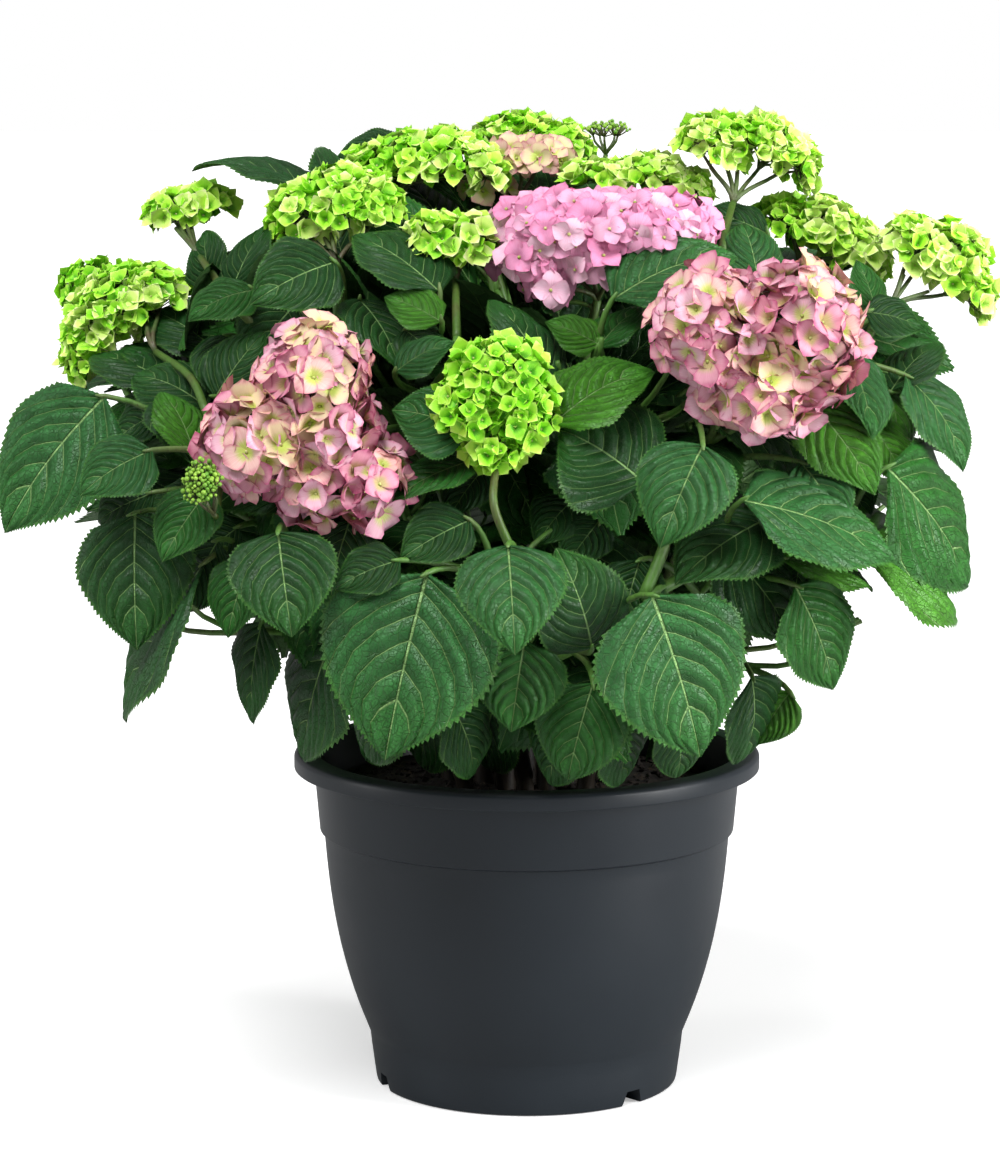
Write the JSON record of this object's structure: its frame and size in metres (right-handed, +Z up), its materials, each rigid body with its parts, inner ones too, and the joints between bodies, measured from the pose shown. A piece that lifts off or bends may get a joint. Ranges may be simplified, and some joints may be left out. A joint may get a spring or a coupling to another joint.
{
  "type": "potted hydrangea shrub",
  "caption": "Mophead hydrangea in a round plastic patio pot: green canes, masses of toothed leaves, and domed pink and lime flower heads.",
  "frame": {"origin": "middle of the pot's flat underside, at ground level", "axes": "+Z up, -Y towards the front, +X to the right seen from the front"},
  "size_m": [0.6742, 0.6701, 0.667],
  "materials": {
    "pot": "satin moulded plastic, slate grey",
    "compost": "moist dark bark and peat fibre",
    "cane": "green stem with fine brown flecks",
    "leaf": "soft green leaf, paler veins, faint sheen",
    "petal_pink": "pink sepals, cream and lime in the middle",
    "petal_lime": "young lime-green sepals"
  },
  "bodies": {
    "root": {"cane_shoulder_back_left": "cane", "cane_shoulder_back_right": "cane", "cane_shoulder_front_left": "cane", "cane_shoulder_front_right": "cane", "cane_shoulder_left": "cane", "cane_shoulder_right": "cane", "cane_skirt_back_left": "cane", "cane_skirt_back_right": "cane", "cane_skirt_front": "cane", "cane_skirt_front_left": "cane", "cane_skirt_front_right": "cane", "cane_skirt_left": "cane", "cane_skirt_right": "cane", "cane_top": "cane", "compost": "compost", "head_back_left": "petal_pink", "head_back_middle": "petal_lime", "head_back_right": "petal_pink", "head_far_left": "petal_lime", "head_far_right": "petal_lime", "head_front_left": "petal_pink", "head_front_middle": "petal_lime", "head_front_right": "petal_pink", "head_left": "petal_lime", "head_rear_left": "petal_lime", "head_right": "petal_lime", "head_top_back": "petal_lime", "head_top_left": "petal_lime", "head_top_middle": "petal_lime", "head_top_right": "petal_lime", "head_upper_blush": "petal_pink", "head_upper_left": "petal_lime", "head_upper_middle": "petal_lime", "head_upper_pink": "petal_pink", "pot": "pot", "shoulder_back_left": "leaf", "shoulder_back_right": "leaf", "shoulder_front_left": "leaf", "shoulder_front_right": "leaf", "shoulder_left": "leaf", "shoulder_right": "leaf", "skirt_back_left": "leaf", "skirt_back_right": "leaf", "skirt_front": "leaf", "skirt_front_left": "leaf", "skirt_front_right": "leaf", "skirt_left": "leaf", "skirt_right": "leaf", "stalk_far_left": "cane", "stalk_far_right": "cane", "stalk_front_middle": "cane", "stalk_left": "cane", "stalk_rear_left": "cane", "stalk_top_back": "cane", "stalk_top_left": "cane", "stalk_top_middle": "cane", "stalk_top_right": "cane", "stalk_upper_left": "cane", "stalk_upper_middle": "cane", "top": "leaf"}
  },
  "joints": []
}
